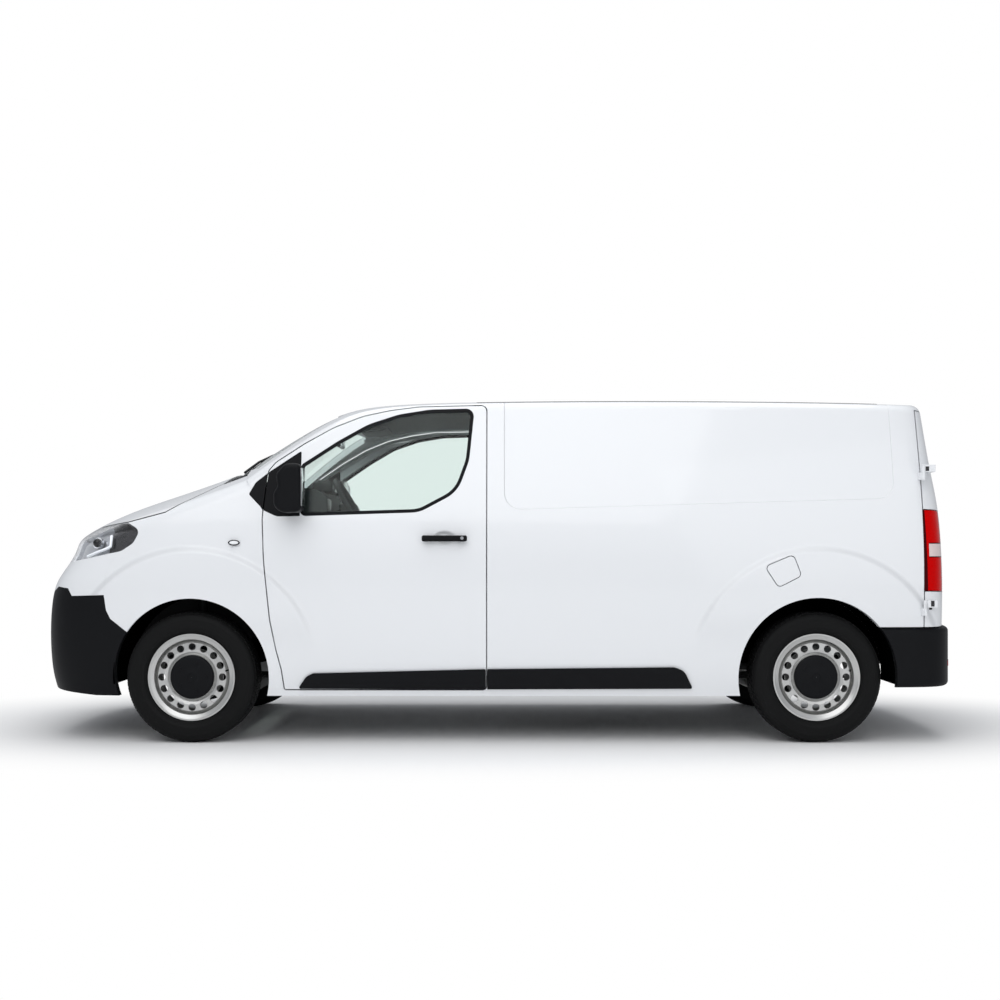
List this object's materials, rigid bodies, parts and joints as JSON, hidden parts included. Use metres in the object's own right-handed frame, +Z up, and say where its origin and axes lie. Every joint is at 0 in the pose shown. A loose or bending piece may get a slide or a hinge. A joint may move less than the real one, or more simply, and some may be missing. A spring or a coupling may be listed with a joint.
{
  "type": "panel van",
  "caption": "White mid-size panel van with black bumpers, hollow cab and load space, hinged doors, bonnet and fuel flap, steered front wheels and rolling pressed steel wheels.",
  "frame": {"origin": "on the ground under the middle of the van's length and width", "axes": "+X to the rear, +Y to the vehicle's right, +Z up"},
  "size_m": [4.98, 2.204, 1.8562],
  "materials": {
    "body_white": "gloss",
    "tinted_glass": "polished",
    "black_plastic": "grained",
    "clear_lens": "polished",
    "red_lens": "polished",
    "primed_metal": "satin",
    "chassis_iron": "satin",
    "tank_plastic": "satin",
    "cabin_plastic": "grained",
    "seat_cloth": "woven",
    "wheel_steel": "satin",
    "tyre_rubber": "matte"
  },
  "bodies": {
    "body": {"windscreen": "tinted_glass", "roof_panel": "body_white", "side_frame_left": "body_white", "side_frame_right": "body_white", "sliding_door": "body_white", "wing_left": "body_white", "wing_right": "body_white", "headlamps": "clear_lens", "front_mask": "body_white", "bumper_front": "black_plastic", "grille": "black_plastic", "cowl": "black_plastic", "rub_strips": "black_plastic", "tail_lamps": "red_lens", "bumper_rear": "black_plastic", "floor_pan": "primed_metal", "bulkhead": "primed_metal", "engine_bay": "primed_metal", "front_subframe": "chassis_iron", "rear_axle": "chassis_iron", "engine": "chassis_iron", "radiator": "chassis_iron", "exhaust": "chassis_iron", "fuel_tank": "tank_plastic", "dashboard": "cabin_plastic", "seat_driver": "seat_cloth", "seat_bench": "seat_cloth"},
    "bonnet": {"bonnet": "body_white"},
    "fuel_flap": {"fuel_flap": "body_white"},
    "door_left": {"door_left": "body_white", "door_glass_left": "tinted_glass", "door_trim_left": "black_plastic"},
    "door_right": {"door_right": "body_white", "door_glass_right": "tinted_glass", "door_trim_right": "black_plastic"},
    "rear_door_left": {"rear_door_left": "body_white"},
    "rear_door_right": {"rear_door_right": "body_white"},
    "steer_left": {"knuckle_left": "chassis_iron"},
    "steer_right": {"knuckle_right": "chassis_iron"},
    "steering_wheel": {"steering_wheel": "cabin_plastic"},
    "wheel_front_left": {"rim_front_left": "wheel_steel", "tyre_front_left": "tyre_rubber"},
    "wheel_front_right": {"rim_front_right": "wheel_steel", "tyre_front_right": "tyre_rubber"},
    "wheel_rear_left": {"rim_rear_left": "wheel_steel", "tyre_rear_left": "tyre_rubber"},
    "wheel_rear_right": {"rim_rear_right": "wheel_steel", "tyre_rear_right": "tyre_rubber"}
  },
  "joints": [
    {"name": "bonnet_hinge", "type": "hinge", "parent": "body", "child": "bonnet", "pos_m": [-1.46, 0, 1.44], "axis": [0, 1, 0], "range_deg": [0, 50]},
    {"name": "door_left_hinge", "type": "hinge", "parent": "body", "child": "door_left", "pos_m": [-1.212, -0.957, 0.77], "axis": [0, 0, -1], "range_deg": [0, 70]},
    {"name": "door_right_hinge", "type": "hinge", "parent": "body", "child": "door_right", "pos_m": [-1.212, 0.957, 0.77], "axis": [0, 0, 1], "range_deg": [0, 70]},
    {"name": "rear_door_left_hinge", "type": "hinge", "parent": "body", "child": "rear_door_left", "pos_m": [2.24, -0.954, 0.708], "axis": [0, -0.0523, -0.9986], "range_deg": [0, 180]},
    {"name": "rear_door_right_hinge", "type": "hinge", "parent": "body", "child": "rear_door_right", "pos_m": [2.24, 0.954, 0.708], "axis": [0, -0.0523, 0.9986], "range_deg": [0, 180]},
    {"name": "fuel_flap_hinge", "type": "hinge", "parent": "body", "child": "fuel_flap", "pos_m": [1.44, -0.957, 0.87], "axis": [0.5511, 0, -0.8345], "range_deg": [0, 95]},
    {"name": "steer_left", "type": "hinge", "parent": "body", "child": "steer_left", "pos_m": [-1.59, -0.72, 0.205], "axis": [0, 0.154, 0.9881], "range_deg": [-35, 35]},
    {"name": "steer_right", "type": "hinge", "parent": "body", "child": "steer_right", "pos_m": [-1.59, 0.72, 0.205], "axis": [0, -0.154, 0.9881], "range_deg": [-35, 35]},
    {"name": "steering_wheel_turn", "type": "hinge", "parent": "body", "child": "steering_wheel", "pos_m": [-0.8, -0.4, 1.235], "axis": [0.866, 0, 0.5], "range_deg": [-525, 525]},
    {"name": "roll_front_left", "type": "hinge", "parent": "steer_left", "child": "wheel_front_left", "pos_m": [-1.59, -0.814, 0.343], "axis": [0, 1, 0], "continuous": true},
    {"name": "roll_front_right", "type": "hinge", "parent": "steer_right", "child": "wheel_front_right", "pos_m": [-1.59, 0.814, 0.343], "axis": [0, 1, 0], "continuous": true},
    {"name": "roll_rear_left", "type": "hinge", "parent": "body", "child": "wheel_rear_left", "pos_m": [1.685, -0.814, 0.343], "axis": [0, 1, 0], "continuous": true},
    {"name": "roll_rear_right", "type": "hinge", "parent": "body", "child": "wheel_rear_right", "pos_m": [1.685, 0.814, 0.343], "axis": [0, 1, 0], "continuous": true}
  ],
  "couplings": [
    {"joint": "steer_right", "follows": "steer_left", "ratio": 1},
    {"joint": "steering_wheel_turn", "follows": "steer_left", "ratio": 15}
  ]
}
